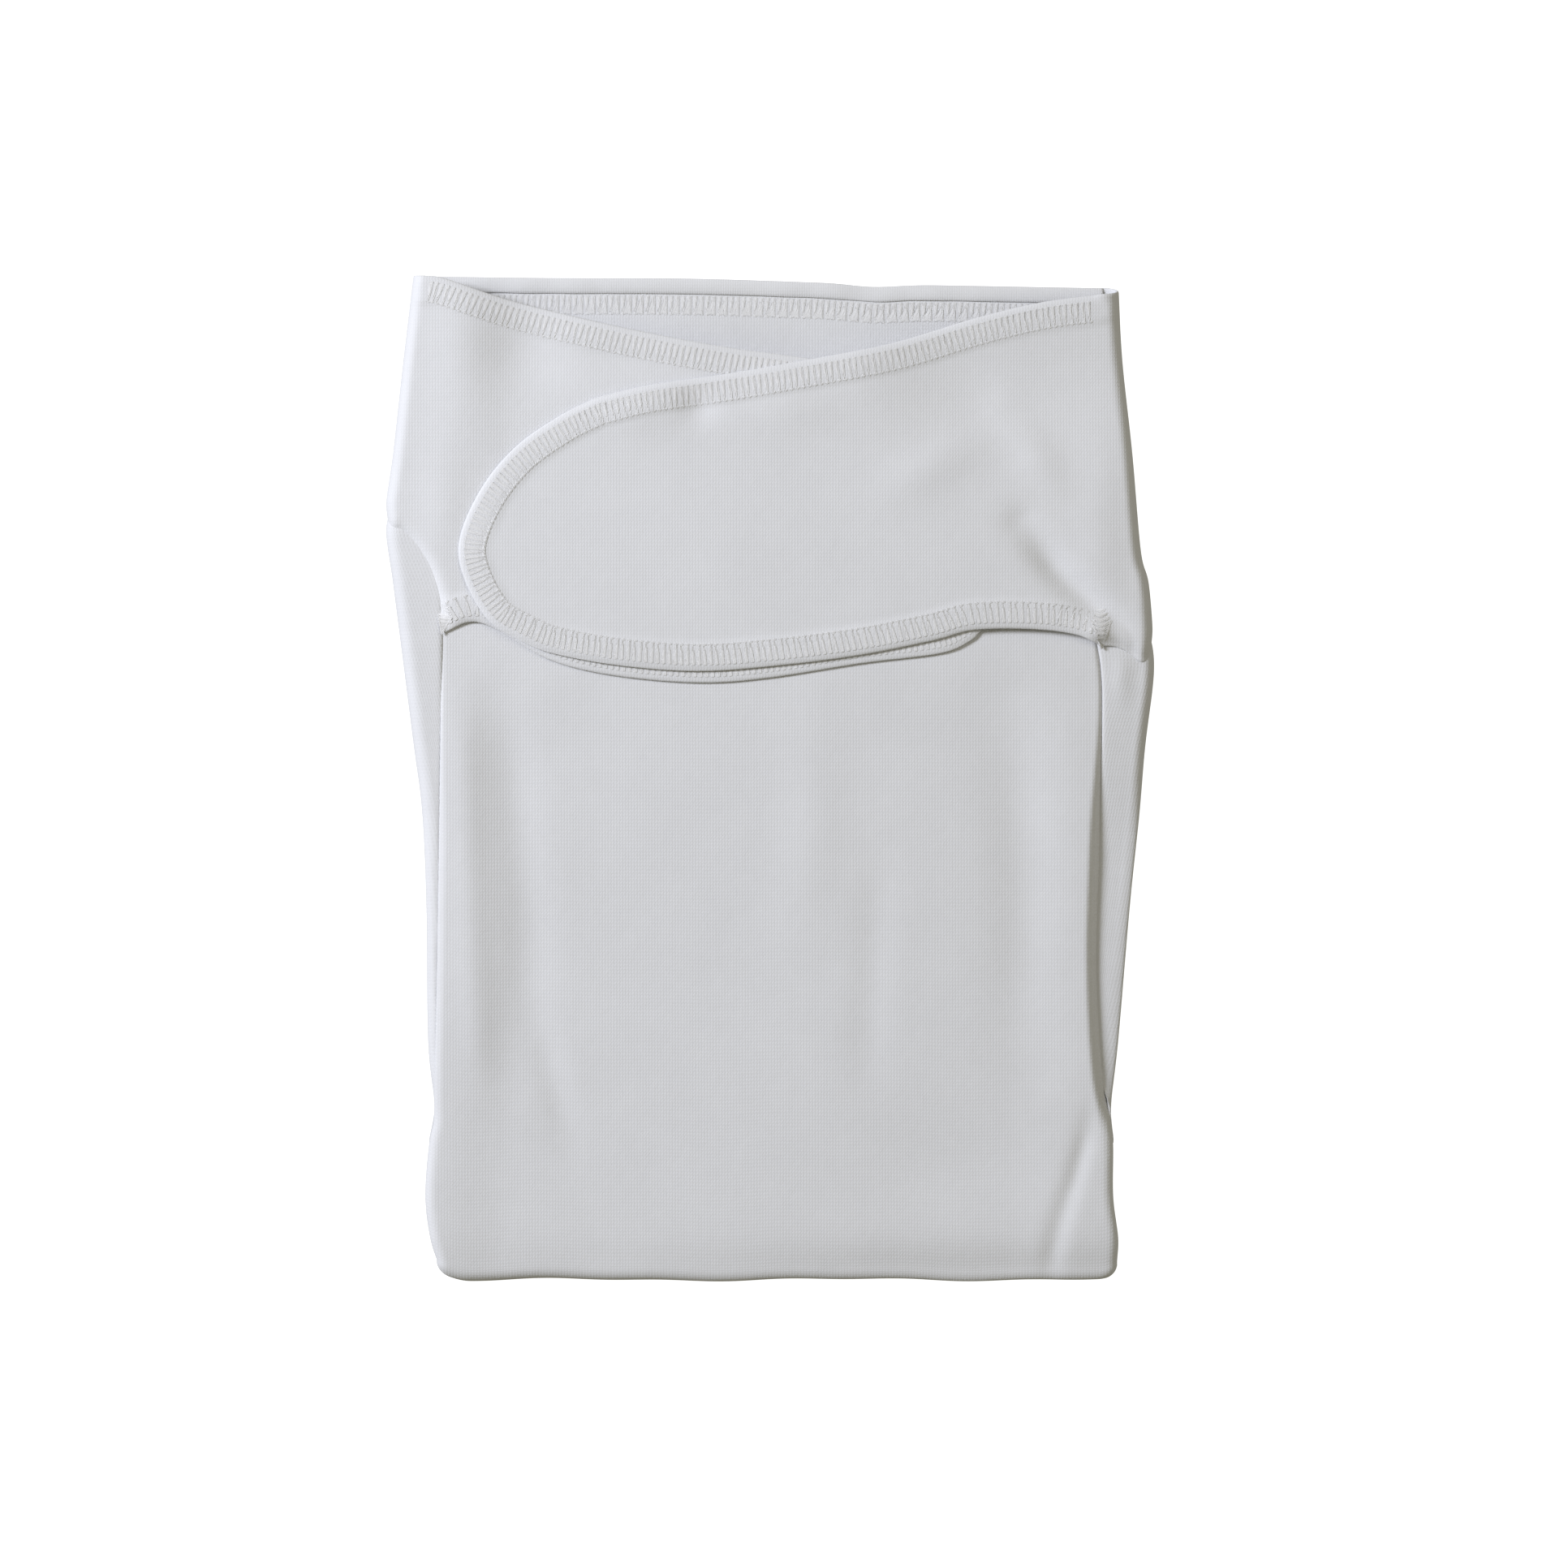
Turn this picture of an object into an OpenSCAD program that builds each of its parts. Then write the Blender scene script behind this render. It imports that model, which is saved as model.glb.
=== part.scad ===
// Infant swaddle wrap, closed and folded for storage: a sewn leg pouch, a back panel
// with two round-ended wings crossed right over left, and the foot end turned behind.
// It lies on its back: +Z up, +Y towards the neck, origin under the middle of its box.

/* [Sack] */
// Greatest width, where the wings' lower corners meet the pouch
wide_w = 294; // [286:2:304]
// Width between the two corners of the neckline
neck_w = 269; // [264:1:274]
// Length from the neckline to the foot fold
folded_l = 384; // [376:2:392]
// Length of the foot end that is turned up behind
tail_l = 176; // [120:4:190]
// How much lower the right neck corner lies than the left one
neck_drop = 5; // [0:1:8]

/* [Cloth] */
// Thickness of one ply of the interlock knit
cloth_t = 1.2; // [0.8:0.1:1.3]
// Air between two plies that lie on each other
ply_gap = 0.3; // [0.2:0.1:0.3]
// Clear height inside the leg pouch
pouch_room = 5.2; // [5:0.1:5.6]

/* [Stitching] */
// Width of the overlock along a wing's free edge
overlock_w = 9; // [5:0.5:10]
// How far overlock thread stands proud of the cloth
thread_t = 0.25; // [0.1:0.05:0.25]
// Width of the turned hem at the neckline
neck_hem_w = 6; // [4:1:7]
// Width of the hem at the pouch's mouth
mouth_hem_w = 8; // [6:1:9]
// Width of a sewn seam allowance
seam_w = 5; // [3:0.5:6]

/* [Fastening] */
// Length of the hook and loop tapes
tape_l = 46; // [40:2:50]
// Width of the hook and loop tapes
tape_w = 20; // [16:1:24]
// Thickness of one tape
tape_t = 0.8; // [0.6:0.1:0.9]

/* [Hidden] */
$fn = 48;

// Heights of the plies, from the surface it lies on
tail_front_z = 0;
tail_back_z = tail_front_z + cloth_t + ply_gap;
back_z = tail_back_z + cloth_t + ply_gap;
front_z = back_z + cloth_t + pouch_room;
wing_gap = 0.4;
inner_wing_z = front_z + cloth_t + wing_gap;
tape_play = 0.1;
outer_wing_z = inner_wing_z + cloth_t + 2 * tape_t + tape_play;

// Plan positions
side_x = wide_w / 2;
end_y = folded_l / 2;
neck_off_centre = -1.5;
neck_left = [-neck_w / 2 + neck_off_centre, end_y];
neck_right = [neck_w / 2 + neck_off_centre, end_y - neck_drop];
wing_foot_y = 58;
mouth_y = 72;
foot_fold_r = (front_z + cloth_t) / 2;
foot_y = -end_y + foot_fold_r;
seam_t = 0.6;
step_y = [foot_y + tail_l + 2, foot_y + tail_l + 24];
tape_centre = [-84, 90];
// Gap between a wing's lower corner and the rolled side of the pouch below it
corner_gap = 3;
// Height up the side where the rolled strip ends and the pouch front reaches the edge
notch_y = -130;
// Half the width of the foot end, the radius of its corners and the gap between its seam and its edge
tail_half_w = 122;
tail_corner_r = 24;
tail_seam_edge = 1;
// How far the foot end's inner ply stays inside its outer ply
tail_back_in = 3;
label_size = [22, 32, 0.3];
// From a neck corner to the start of the stitch line under the neckline's hem
neck_stitch_from = [4, -11];
neck_hem_t = 2 * thread_t + 0.3;
// Place of a corner tack from the wing's lower corner, and the length of its arms
tack_in = 14;
tack_up = [6, 8];
tack_arm = 6;
// How far overlock thread reaches past the cut edge
overlock_past = 0.4;

// Radii and axes of the two side folds, which are also the wings' hinge lines
left_fold_r = (inner_wing_z + cloth_t) / 2;
right_fold_r = (outer_wing_z + cloth_t) / 2;
left_axis = [[-side_x + left_fold_r, wing_foot_y], neck_left + [left_fold_r, 0]];
right_axis = [[side_x - right_fold_r, wing_foot_y - 6], neck_right - [right_fold_r, 0]];

// Sides of the pouch, from the wings' corners down to the foot fold
left_side = [[-side_x, left_axis[0][1] - corner_gap], [-140, 30], [-133, -10], [-130.5, -70],
             [-128.5, -126], [-131, -158], [-127, foot_y]];
right_side = [[side_x, right_axis[0][1] - corner_gap], [146, 25], [140, -25], [134, -90],
              [130.5, -128], [133.5, -158], [131, foot_y]];
// Sewn lines where the rolled sides of the back panel meet the pouch front
left_seam = [[-125, mouth_y], [-125.5, 0], [-126.5, -60], [-127, -100], [-128.5, -126]];
right_seam = [[126, mouth_y], [127, 30], [125.5, -30], [126, -90], [130.5, -128]];

// Free edge of each wing, from the neckline round the tip to the lower corner
inner_edge = [left_axis[1], [-102, 182.5], [-46, 169], [16, 158.5], [62, 146], [88, 126],
              [98, 95], [89, 64], [66, 47], [30, 41.5], [-27, 36], [-77, 41], [-110, 56], left_axis[0]];
outer_edge = [right_axis[1], [96, 178.5], [55, 167.5], [16, 159], [-46, 148.5], [-82, 136],
              [-107, 114], [-118.5, 88], [-107, 59], [-83, 47], [-27, 40.5], [32, 46], [80, 56], [112, 55],
              right_axis[0]];
curve_steps = 5;

function reversed(p) = [for (i = [len(p) - 1:-1:0]) p[i]];
function unit(v) = v / norm(v);
function spline(a, b, c, d, t) =
    (2 * b + (c - a) * t + (2 * a - 5 * b + 4 * c - d) * t * t + (3 * b - a - 3 * c + d) * t * t * t) / 2;
// A smooth curve through every point of p, ending at its first and last points
function smooth(p, steps = curve_steps) =
    let (n = len(p), q = concat([2 * p[0] - p[1]], p, [2 * p[n - 1] - p[n - 2]]))
    concat(
        [for (i = [0:n - 2]) for (k = [0:steps - 1]) spline(q[i], q[i + 1], q[i + 2], q[i + 3], k / steps)],
        [p[n - 1]]
    );
// The curve p moved sideways by d, to the right of its own direction
function beside(p, d) =
    let (n = len(p))
    [for (i = [0:n - 1])
        let (v = unit(p[min(i + 1, n - 1)] - p[max(i - 1, 0)]))
        p[i] + d * [v[1], -v[0]]];
function middle_part(p, cut = 2) = [for (i = [cut:len(p) - 1 - cut]) p[i]];

// A side seam without its last stretch, where it runs out to the wrap's edge
function sewn_part(seam) = [for (i = [0:len(seam) - 2]) seam[i]];

module ply(outline, z, t = cloth_t) translate([0, 0, z]) linear_extrude(t) polygon(outline);

// Strip of width w beside a curve, on its right where w is positive
module strip(p, w, z, t) ply(concat(p, reversed(beside(p, w))), z, t);

// Everything below the height h over the back panel's underside
module below_back(h) {
    reach = 2 * side_x;
    translate([-reach / 2, 0, 0])
        rotate([90, 0, 90])
            linear_extrude(reach)
                polygon([[-end_y - 1, -1], [end_y + 1, -1], [end_y + 1, h], [step_y[1], h],
                         [step_y[0], back_z + h], [-end_y - 1, back_z + h]]);
}

// Half-round fold of cloth of outer radius r along the line a-b, bulging to one side
module side_fold(axis, r, bulge) {
    run = axis[1] - axis[0];
    translate([axis[0][0], axis[0][1], r])
        rotate([0, 0, atan2(run[1], run[0]) - 90])
            rotate([-90, 0, 0])
                linear_extrude(norm(run))
                    difference() {
                        circle(r);
                        circle(r - cloth_t);
                        translate([bulge > 0 ? -2 * r : 0, -r - 1]) square([2 * r, 2 * r + 2]);
                    }
}

module foot_bend(r, t, z) {
    left = left_side[6][0];
    right = right_side[6][0];
    translate([left, foot_y, z])
        rotate([90, 0, 90])
            linear_extrude(right - left)
                difference() {
                    circle(r);
                    circle(r - t);
                    translate([0, -r - 1]) square([r + 1, 2 * r + 2]);
                }
}

// Overlock thread wrapped round a wing's free edge
module wing_overlock(edge, z) {
    run = middle_part(smooth(edge));
    difference() {
        ply(
            concat(beside(run, -overlock_past), reversed(beside(run, overlock_w))),
            z - thread_t,
            cloth_t + 2 * thread_t
        );
        ply(smooth(edge), z);
    }
}

// Pouch side: the back panel's edge, rolled up and over to the seam
module pouch_side(side, seam, inward) {
    edge = smooth(side);
    difference() {
        union() {
            strip(edge, inward * cloth_t, 0, front_z);
            ply(concat(smooth([for (p = side) if (p[1] > notch_y) p]), reversed(smooth(seam))), front_z);
        }
        below_back(cloth_t);
    }
}

// V of short stitches where a wing's lower corner is tacked down
module corner_tack(x, y, z, arm = tack_arm) {
    translate([x, y, z])
        linear_extrude(2 * thread_t)
            polygon([[0, -arm], [arm / 2, arm / 3], [arm / 4, arm / 2], [0, -arm / 4],
                     [-arm / 4, arm / 2], [-arm / 2, arm / 3]]);
}

module tape(z) {
    translate([tape_centre[0] - tape_w / 2, tape_centre[1] - tape_l / 2, z]) cube([tape_w, tape_l, tape_t]);
}

module back_panel() color("gainsboro") {
    outline = concat([neck_left + [left_fold_r, 0], neck_right - [right_fold_r, 0]],
                     [right_axis[0]], smooth(right_side), reversed(smooth(left_side)), [left_axis[0]]);
    intersection() {
        ply(outline, -1, front_z);
        difference() {
            below_back(cloth_t);
            below_back(0);
        }
    }
}

module neck_binding() color("whitesmoke") {
    strip([left_axis[1] + [1, 0], right_axis[1] - [1, 0]], neck_hem_w, cloth_t, neck_hem_t);
}

module neck_overlock() color("white") {
    in_from = [-neck_stitch_from[0], neck_stitch_from[1]];
    strip([left_axis[1] + neck_stitch_from, right_axis[1] + in_from], neck_hem_w, cloth_t, thread_t);
}

module pouch_front() color("lightgray") {
    below_notch = function (side) [for (p = side) if (p[1] < notch_y) p];
    ply(concat(smooth(concat(left_seam, below_notch(left_side))),
               reversed(smooth(concat(right_seam, below_notch(right_side))))), front_z);
}

module pouch_mouth_hem() color("whitesmoke") {
    strip([left_seam[0] + [seam_w, 0], right_seam[0] - [seam_w, 0]], mouth_hem_w, front_z - seam_t, seam_t);
}

module left_pouch_side() color("silver") pouch_side(left_side, left_seam, -1);
module right_pouch_side() color("silver") pouch_side(right_side, right_seam, 1);

module left_side_seam() color("white") {
    strip(smooth(sewn_part(left_seam)), -seam_w, front_z - seam_t, seam_t);
}

module right_side_seam() color("white") {
    strip(smooth(sewn_part(right_seam)), seam_w, front_z - seam_t, seam_t);
}

module care_label() color("white") {
    translate([left_seam[1][0] + seam_w + 1, 0, front_z - label_size[2]]) cube(label_size);
}

module left_side_fold() color("gainsboro") side_fold(left_axis, left_fold_r, -1);
module right_side_fold() color("gainsboro") side_fold(right_axis, right_fold_r, 1);

module foot_fold() color("lightgray") {
    foot_bend(foot_fold_r, cloth_t, foot_fold_r);
    inner_r = cloth_t + ply_gap / 2;
    foot_bend(inner_r, cloth_t, tail_back_z + inner_r);
}

module left_wing() color("gainsboro") ply(smooth(inner_edge), inner_wing_z);
module right_wing() color("lightgray") ply(smooth(outer_edge), outer_wing_z);
module left_wing_overlock() color("whitesmoke") wing_overlock(inner_edge, inner_wing_z);
module right_wing_overlock() color("whitesmoke") wing_overlock(reversed(outer_edge), outer_wing_z);

module left_corner_tack() color("white") {
    top_z = inner_wing_z + cloth_t + thread_t;
    corner_tack(left_axis[0][0] + tack_in, left_axis[0][1] + tack_up[0], top_z);
}

module right_corner_tack() color("white") {
    top_z = outer_wing_z + cloth_t + thread_t;
    corner_tack(right_axis[0][0] - tack_in, right_axis[0][1] + tack_up[1], top_z);
}

module loop_tape() color("whitesmoke") tape(inner_wing_z + cloth_t);
module hook_tape() color("white") tape(outer_wing_z - tape_t);

// The foot end, narrower towards the toes, with rounded corners
function tail_outline(clear) =
    let (w = tail_half_w - clear, y1 = foot_y + tail_l, r = tail_corner_r)
    concat([[left_side[6][0] + 1, foot_y]],
           [for (a = [180:-15:90]) [-w + r + r * cos(a), y1 - r + r * sin(a)]],
           [for (a = [90:-15:0]) [w - r + r * cos(a), y1 - r + r * sin(a)]],
           [[right_side[6][0] - 1, foot_y]]);

module tail_back() color("gainsboro") ply(tail_outline(tail_back_in), tail_back_z);
module tail_front() color("lightgray") ply(tail_outline(0), tail_front_z);

// Seam allowance that joins the two plies of the foot end, turned inside
module foot_seam() color("white") {
    difference() {
        ply(tail_outline(tail_seam_edge), tail_front_z + cloth_t, ply_gap);
        translate([0, -seam_w, 0]) ply(tail_outline(tail_seam_edge + seam_w), tail_front_z, back_z);
    }
}

back_panel();
neck_binding();
neck_overlock();
pouch_front();
pouch_mouth_hem();
left_pouch_side();
right_pouch_side();
left_side_seam();
right_side_seam();
care_label();
left_side_fold();
right_side_fold();
foot_fold();
left_wing();
left_wing_overlock();
left_corner_tack();
loop_tape();
right_wing();
right_wing_overlock();
right_corner_tack();
hook_tape();
tail_back();
tail_front();
foot_seam();
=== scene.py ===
# %% [markdown]
# # An infant swaddle wrap in white interlock knit
# The wrap lies closed on its back. A leg pouch is sewn to a back panel, two round-ended wings cross over
# the chest, right over left, and the foot end is turned up behind. Everything here is thin cloth, so almost
# every piece is one grid of faces that is bent into place and then given a thickness.

# %% Load the frame
import math

import bmesh
import bpy
import numpy as np
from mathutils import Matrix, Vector


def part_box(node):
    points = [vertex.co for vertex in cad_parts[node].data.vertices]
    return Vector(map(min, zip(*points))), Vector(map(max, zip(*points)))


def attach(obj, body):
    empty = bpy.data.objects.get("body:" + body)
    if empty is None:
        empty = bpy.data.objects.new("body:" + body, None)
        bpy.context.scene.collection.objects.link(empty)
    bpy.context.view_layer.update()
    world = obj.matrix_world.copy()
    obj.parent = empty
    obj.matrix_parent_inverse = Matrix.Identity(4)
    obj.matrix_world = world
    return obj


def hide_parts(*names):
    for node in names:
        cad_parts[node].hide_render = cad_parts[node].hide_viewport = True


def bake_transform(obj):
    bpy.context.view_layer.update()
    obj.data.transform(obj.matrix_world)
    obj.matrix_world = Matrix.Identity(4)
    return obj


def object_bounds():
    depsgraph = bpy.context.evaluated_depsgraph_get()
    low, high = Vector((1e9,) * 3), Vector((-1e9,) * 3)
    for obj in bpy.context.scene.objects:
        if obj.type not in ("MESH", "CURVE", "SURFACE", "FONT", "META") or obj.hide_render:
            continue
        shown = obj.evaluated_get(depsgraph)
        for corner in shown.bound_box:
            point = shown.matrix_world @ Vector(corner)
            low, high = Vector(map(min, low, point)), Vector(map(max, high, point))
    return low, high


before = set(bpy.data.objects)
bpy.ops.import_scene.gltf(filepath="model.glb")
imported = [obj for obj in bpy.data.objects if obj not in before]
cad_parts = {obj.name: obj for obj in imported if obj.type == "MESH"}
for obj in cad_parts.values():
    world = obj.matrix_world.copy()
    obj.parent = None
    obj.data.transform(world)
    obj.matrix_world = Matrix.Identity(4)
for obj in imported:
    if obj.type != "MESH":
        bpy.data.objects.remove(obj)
CAD_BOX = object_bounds()
MM = 0.001
LOW = np.array(CAD_BOX[0]) / MM
HIGH = np.array(CAD_BOX[1]) / MM
print(len(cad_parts), "solids in a box, in millimetres, from", LOW.round(1), "to", HIGH.round(1))

# %% [markdown]
# ## Camera
# The wrap is seen from straight above through a long lens, so that near and far plies keep the same scale.
# The camera looks down from well over two metres, and its lens is worked out from the width that it has to
# cover.

# %% Camera
CAMERA_HEIGHT = 2.6
VIEW_WIDTH = 0.599
VIEW_CENTRE = (0.0056, -0.0028)
SENSOR = 36.0

camera_data = bpy.data.cameras.new("camera")
camera_data.sensor_width = SENSOR
camera_data.lens = SENSOR * CAMERA_HEIGHT / VIEW_WIDTH
camera = bpy.data.objects.new("camera", camera_data)
bpy.context.collection.objects.link(camera)
camera.location = (*VIEW_CENTRE, CAMERA_HEIGHT)
bpy.context.scene.camera = camera
print("lens", round(camera_data.lens, 1), "mm")

# %% [markdown]
# ## Curves on the flat
# Every cut edge is a smooth line through a few points. A spline through the points gives the line, and `at`
# reads it by its own length, so that rows of faces and rows of stitches are evenly spaced along it.

# %% Smooth lines
def line_through(points, steps=14):
    """A smooth line through the given points, as an array of points close together."""
    p = np.array(points, float)
    q = np.vstack([2 * p[0] - p[1], p, 2 * p[-1] - p[-2]])
    t = np.linspace(0, 1, steps, endpoint=False)[:, None]
    out = []
    for a, b, c, d in zip(q, q[1:], q[2:], q[3:]):
        out.append((2 * b + (c - a) * t + (2 * a - 5 * b + 4 * c - d) * t**2
                    + (3 * b - a - 3 * c + d) * t**3) / 2)
    return np.vstack(out + [p[-1:]])


def line_length(line):
    return float(np.linalg.norm(np.diff(line, axis=0), axis=1).sum())


def at(line, s):
    """Points of a line at the shares s of its length, from 0 to 1."""
    run = np.concatenate([[0], np.cumsum(np.linalg.norm(np.diff(line, axis=0), axis=1))])
    s = np.clip(np.asarray(s, float), 0, 1) * run[-1]
    return np.stack([np.interp(s, run, line[:, k]) for k in range(line.shape[1])], axis=-1)


def x_at(line, y):
    """The line's x for a given y, for a line that runs up or down the wrap."""
    order = np.argsort(line[:, 1])
    return np.interp(y, line[order, 1], line[order, 0])


def distance_to(line, x, y):
    """Distance of each point from a line."""
    p = np.stack([x, y], axis=-1)[..., None, :]
    a, b = line[:-1], line[1:]
    ab = b - a
    t = np.clip(((p - a) * ab).sum(-1) / np.maximum((ab * ab).sum(-1), 1e-9), 0, 1)
    return np.linalg.norm(p - (a + t[..., None] * ab), axis=-1).min(-1)


def step(low, high, x):
    t = np.clip((x - low) / (high - low), 0, 1)
    return t * t * (3 - 2 * t)


print("a line through 4 points gets", len(line_through([(0, 0), (1, 0), (2, 1), (3, 1)])), "points")

# %% [markdown]
# ## The outline
# The sides are not straight. They widen from the neck to where the arms lie, draw in along the legs to a
# notch where the side seam turns round to the edge, and swell again over the foot. Each side is given as
# its distance in from the widest line, so the shape follows the frame's own width.

# %% Sides of the wrap
LEFT_INSET = [(192, 11.5), (160, 7.6), (124, 3.6), (98, 0.5), (74, 3.4), (49, 6.6), (12, 11.3), (-14, 14.6),
              (-50, 16.2), (-100, 16.8), (-126, 19.2), (-140, 17.0), (-160, 15.6), (-176, 17.5),
              (-184, 20.0)]
RIGHT_INSET = [(187, 14.0), (160, 12.5), (124, 8.7), (86, 5.4), (73, 2.3), (48, 0.4), (36, 0.5), (12, 3.5),
               (-14, 5.7), (-50, 9.4), (-100, 13.7), (-127, 16.6), (-140, 15.6), (-160, 15.6), (-176, 13.6),
               (-184, 14.0)]
side_left = line_through([(LOW[0] + inset, y) for y, inset in LEFT_INSET])
side_right = line_through([(HIGH[0] - inset, y) for y, inset in RIGHT_INSET])

NECK_LEFT = (side_left[0, 0], 191.5)
NECK_RIGHT = (side_right[0, 0], 186.8)
FOOT_Y = LOW[1]
NOTCH_Y = -130
print("neckline", round(NECK_RIGHT[0] - NECK_LEFT[0], 1), "mm wide")

# %% [markdown]
# ## Seams and edges
# The back panel's sides come round to the front, so the pouch's two side seams lie on top, a little in from
# the outline, until the notch. The wings are tongues with a round end. Their free edges are one line each,
# from the neck corner round the tip to the lower corner, where the hem stops at the side seam.

# %% Seams, wings and creases
seam_left = line_through([(-124.5, 75), (-124.8, 40), (-125.6, -20), (-126.5, -80), (-127.2, -112),
                          (LOW[0] + 19.6, NOTCH_Y)])
seam_right = line_through([(124, 75), (125.5, 52), (127.3, 30), (126.3, -20), (125.0, -70), (126.8, -110),
                           (HIGH[0] - 16.9, NOTCH_Y)])

inner_upper = line_through([(-131, 190.6), (-124, 189.8), (-101, 182), (-76, 175.6), (-46, 169),
                            (-15, 163.3), (16, 159), (46, 152.5), (70, 142)])
inner_tip = line_through([(70, 142), (88, 126), (97.5, 97), (92, 70), (78, 52.5)])
inner_lower = line_through([(78, 52.5), (66, 47), (35, 43), (0, 37.5), (-27, 35.6), (-60, 38.5), (-84, 44.5),
                            (-104, 56), (-114, 58.8), (-124.5, 54)])
inner_crease = line_through([(-124.5, 54), (-126.5, 64), (-130.5, 78), (-136, 87), (-141, 92)])

outer_upper = line_through([(126.5, 183.6), (103, 180.4), (78, 174.4), (47, 165), (16, 158.8), (-15, 153.4),
                            (-46, 148.8), (-66, 144)])
outer_tip = line_through([(-66, 144), (-80, 137), (-97, 125), (-110, 109), (-118, 90), (-116, 75),
                          (-107, 59.5), (-95, 51.8)])
outer_lower = line_through([(-95, 51.8), (-83, 47), (-58, 42.3), (-27, 40), (4, 42.2), (35, 46.2),
                            (63, 51.8), (78, 55.7), (100, 56), (117, 53.8), (126.5, 49.5)])
outer_crease = line_through([(126.5, 49.5), (131, 49.5), (136, 47.5), (141, 43.5)])

inner_free = np.vstack([inner_upper[2:], inner_tip[1:], inner_lower[1:]])
outer_free = np.vstack([outer_upper[2:], outer_tip[1:], outer_lower[1:]])
print("free edge of the over wing", round(line_length(outer_free)), "mm")

# %% [markdown]
# ## Relief
# Limp knit never lies flat. Broad swells, hollows and creases are laid over each ply's rest height: `swell`
# is a soft mound or hollow, and `crease` a long soft ridge or valley with tapered ends. Each is placed in
# millimetres where that ply pulls or settles.

# %% Swells and creases
def swell(x, y, cx, cy, rx, ry, lift, turn=0.0):
    c, s = math.cos(math.radians(turn)), math.sin(math.radians(turn))
    dx, dy = x - cx, y - cy
    return lift * np.exp(-((c * dx + s * dy) / rx) ** 2 - ((c * dy - s * dx) / ry) ** 2)


def crease(x, y, points, width, lift):
    line = line_through(points, 8)
    ends = np.minimum(distance_to(line[:1].repeat(2, 0), x, y), distance_to(line[-1:].repeat(2, 0), x, y))
    taper = 0.35 + 0.65 * step(0, 4 * width, ends)
    return lift * taper * np.exp(-(distance_to(line, x, y) / width) ** 2)


def rise(x, centre, width, lift):
    """A soft rise or dip along one direction."""
    return lift * np.exp(-((x - centre) / width) ** 2)


HEM = 10.6


def hem_relief(edge, x, y, lift=0.45):
    """The turned hem: two plies thick along an edge, with a soft shoulder and a rounded outer edge."""
    d = distance_to(edge, x, y)
    shoulder = 1 - step(HEM - 1.2, HEM + 1.4, d)
    return lift * shoulder - 0.75 * np.exp(-(d / 1.3) ** 2)


print("a hem is", HEM, "mm wide")

# %% [markdown]
# ## Rest heights
# From bottom to top come the back panel, the pouch front, the under wing and the over wing. Each has a rest
# height and a relief of its own. The under wing is also kept above the pouch front and below the over wing,
# so that the plies don't pass through each other.

# %% Rest heights of the plies
BACK_Z = 0.6
STEP_UP = (-24, 4)
BACK_RAISED_Z = 3.2
FRONT_Z = 9.4
INNER_Z = 11.0
OUTER_Z = 12.7
CREASE_WIDTH = 3.0


def soft_min(a, b, blend):
    """The lower of two heights, with a rounded change from one to the other."""
    share = np.clip(0.5 + 0.5 * (b - a) / blend, 0, 1)
    return b + (a - b) * share - blend * share * (1 - share)


def back_height(x, y):
    z = BACK_Z + (BACK_RAISED_Z - BACK_Z) * (1 - step(*STEP_UP, y))
    z = z + swell(x, y, 60, 178, 34, 9, 0.9)
    return z + swell(x, y, -40, 172, 40, 8, 0.5)


def front_height(x, y):
    below_wings = step(52, 8, y)
    z = FRONT_Z + 1.5 * below_wings * (1 - step(-121, -93, x + 0.06 * np.abs(y + 60)))
    z = z - 1.0 * below_wings * step(-118, -60, x) * (1 - step(90, 118, x))
    z = z + crease(x, y, [(-117, 30), (-114, -40), (-110, -120)], 6, 0.7)
    z = z + crease(x, y, [(-101, 30), (-95, -20), (-91, -60), (-93, -110)], 9, -1.0)
    z = z + crease(x, y, [(-88, -92), (-81, -120), (-75, -142)], 5.0, -0.7)
    z = z + crease(x, y, [(90, 26), (97, -30), (98, -110)], 12, -1.3)
    z = z + crease(x, y, [(16, 26), (17, -20), (11, -60)], 10, 0.7)
    z = z + crease(x, y, [(42, -30), (39, -80), (37, -120)], 6, -0.7)
    z = z + crease(x, y, [(106, -192), (110, -172), (117, -150), (122, -130)], 3.4, -1.1)
    z = z + crease(x, y, [(117, -50), (115, -100)], 9, -0.5)
    z = z + swell(x, y, -20, 5, 60, 40, 0.7)
    z = z + swell(x, y, 30, -60, 40, 70, 0.5)
    z = z + swell(x, y, 66, -150, 34, 22, -0.9)
    return z - rise(y, FOOT_Y, 11, 1.4 + 2.2 * step(-60, 90, x))


def outer_body(x, y):
    """The over wing without its hem."""
    z = OUTER_Z - step(34, 84, x + 0.3 * (y - 140)) * rise(y, 150, 27, 3.4)
    z = z + swell(x, y, 62, 118, 22, 9, 0.8, 30)
    z = z + crease(x, y, [(90, 140), (100, 124), (116, 100)], 7, 0.9)
    z = z + crease(x, y, [(96, 96), (110, 78), (124, 65), (139, 50)], 5.5, -3.0)
    z = z + swell(x, y, 126, 58, 4.5, 7, 1.1)
    z = z + swell(x, y, -27, 141, 7, 7, -1.3)
    z = z + swell(x, y, -52, 138, 14, 8, 0.8)
    z = z + swell(x, y, 6, 140, 20, 10, 0.9)
    z = z + swell(x, y, 126, 92, 9, 36, 0.9)
    return z + swell(x, y, -10, 90, 70, 26, 0.5)


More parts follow.
